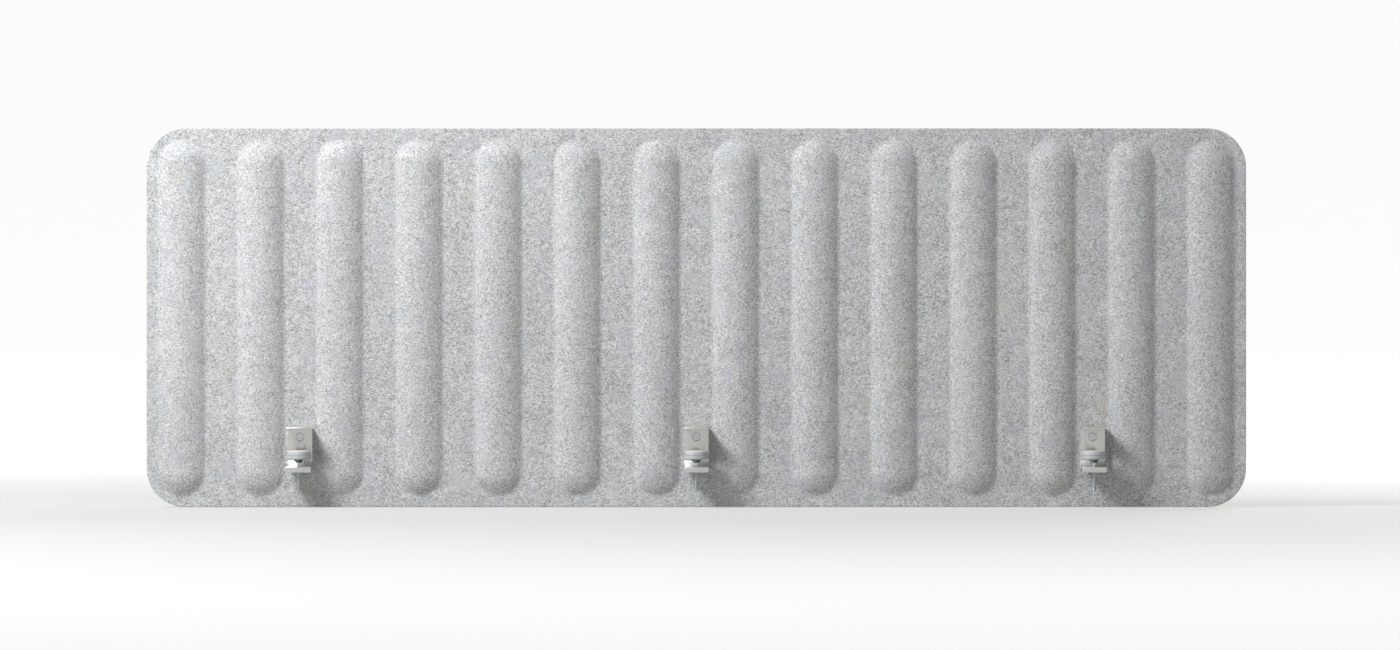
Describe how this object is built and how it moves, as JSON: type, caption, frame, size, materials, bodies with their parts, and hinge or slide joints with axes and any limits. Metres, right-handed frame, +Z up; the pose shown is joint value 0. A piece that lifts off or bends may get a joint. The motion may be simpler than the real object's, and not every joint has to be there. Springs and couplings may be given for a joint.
{
  "type": "desk privacy panel",
  "caption": "Ribbed grey felt privacy panel with rounded corners, held to a worktop's rear edge by aluminium screw clamps with swivel pads and round backing discs.",
  "frame": {"origin": "middle of the seat under the centre clamp's top jaw, where it rests on the worktop", "axes": "+X along the panel to the right seen from its ribbed front, +Y from the worktop through the panel to its back, +Z up"},
  "size_m": [1.8, 0.0712, 0.62],
  "materials": {
    "felt": "moulded grey needle felt, heathered",
    "aluminium": "fine satin extrusion, sawn ends",
    "zinc_steel": "bright zinc plating",
    "dark_steel": "dark plated, turned",
    "band_plastic": "light grey, slightly bluish",
    "cap_plastic": "light warm grey, soft",
    "disc_plastic": "light grey, fine matte",
    "black_insert": "black threaded sleeve"
  },
  "bodies": {
    "panel": {"felt_panel": "felt", "left_bracket": "aluminium", "left_backing_disc": "disc_plastic", "left_upper_insert": "black_insert", "left_lower_insert": "black_insert", "left_upper_screw": "zinc_steel", "left_lower_screw": "zinc_steel", "centre_bracket": "aluminium", "centre_backing_disc": "disc_plastic", "centre_upper_insert": "black_insert", "centre_lower_insert": "black_insert", "centre_upper_screw": "zinc_steel", "centre_lower_screw": "zinc_steel", "right_bracket": "aluminium", "right_backing_disc": "disc_plastic", "right_upper_insert": "black_insert", "right_lower_insert": "black_insert", "right_upper_screw": "zinc_steel", "right_lower_screw": "zinc_steel"},
    "left_collar": {"left_swivel_collar": "dark_steel"},
    "left_spindle": {"left_spindle": "zinc_steel"},
    "left_pad": {"left_pad_cup": "band_plastic", "left_pad_cap": "cap_plastic"},
    "centre_collar": {"centre_swivel_collar": "dark_steel"},
    "centre_spindle": {"centre_spindle": "zinc_steel"},
    "centre_pad": {"centre_pad_cup": "band_plastic", "centre_pad_cap": "cap_plastic"},
    "right_collar": {"right_swivel_collar": "dark_steel"},
    "right_spindle": {"right_spindle": "zinc_steel"},
    "right_pad": {"right_pad_cup": "band_plastic", "right_pad_cap": "cap_plastic"}
  },
  "joints": [
    {"name": "left_clamp_travel", "type": "slide", "parent": "panel", "child": "left_collar", "axis": [0, 0, 1], "range_m": [-0.006, 0.03]},
    {"name": "left_spindle_turn", "type": "hinge", "parent": "left_collar", "child": "left_spindle", "pos_m": [-0.648, -0.009, -0.0494], "axis": [0, 0, 1], "range_deg": [-1728, 8640]},
    {"name": "left_pad_tilt", "type": "hinge", "parent": "left_collar", "child": "left_pad", "pos_m": [-0.648, -0.009, -0.0449], "axis": [1, 0, 0], "range_deg": [-6, 6]},
    {"name": "centre_clamp_travel", "type": "slide", "parent": "panel", "child": "centre_collar", "axis": [0, 0, 1], "range_m": [-0.006, 0.03]},
    {"name": "centre_spindle_turn", "type": "hinge", "parent": "centre_collar", "child": "centre_spindle", "pos_m": [0, -0.009, -0.0494], "axis": [0, 0, 1], "range_deg": [-1728, 8640]},
    {"name": "centre_pad_tilt", "type": "hinge", "parent": "centre_collar", "child": "centre_pad", "pos_m": [0, -0.009, -0.0449], "axis": [1, 0, 0], "range_deg": [-6, 6]},
    {"name": "right_clamp_travel", "type": "slide", "parent": "panel", "child": "right_collar", "axis": [0, 0, 1], "range_m": [-0.006, 0.03]},
    {"name": "right_spindle_turn", "type": "hinge", "parent": "right_collar", "child": "right_spindle", "pos_m": [0.648, -0.009, -0.0494], "axis": [0, 0, 1], "range_deg": [-1728, 8640]},
    {"name": "right_pad_tilt", "type": "hinge", "parent": "right_collar", "child": "right_pad", "pos_m": [0.648, -0.009, -0.0449], "axis": [1, 0, 0], "range_deg": [-6, 6]}
  ],
  "couplings": [
    {"joint": "left_spindle_turn", "follows": "left_clamp_travel", "rad_per_m": 5026.5},
    {"joint": "centre_spindle_turn", "follows": "centre_clamp_travel", "rad_per_m": 5026.5},
    {"joint": "right_spindle_turn", "follows": "right_clamp_travel", "rad_per_m": 5026.5}
  ]
}
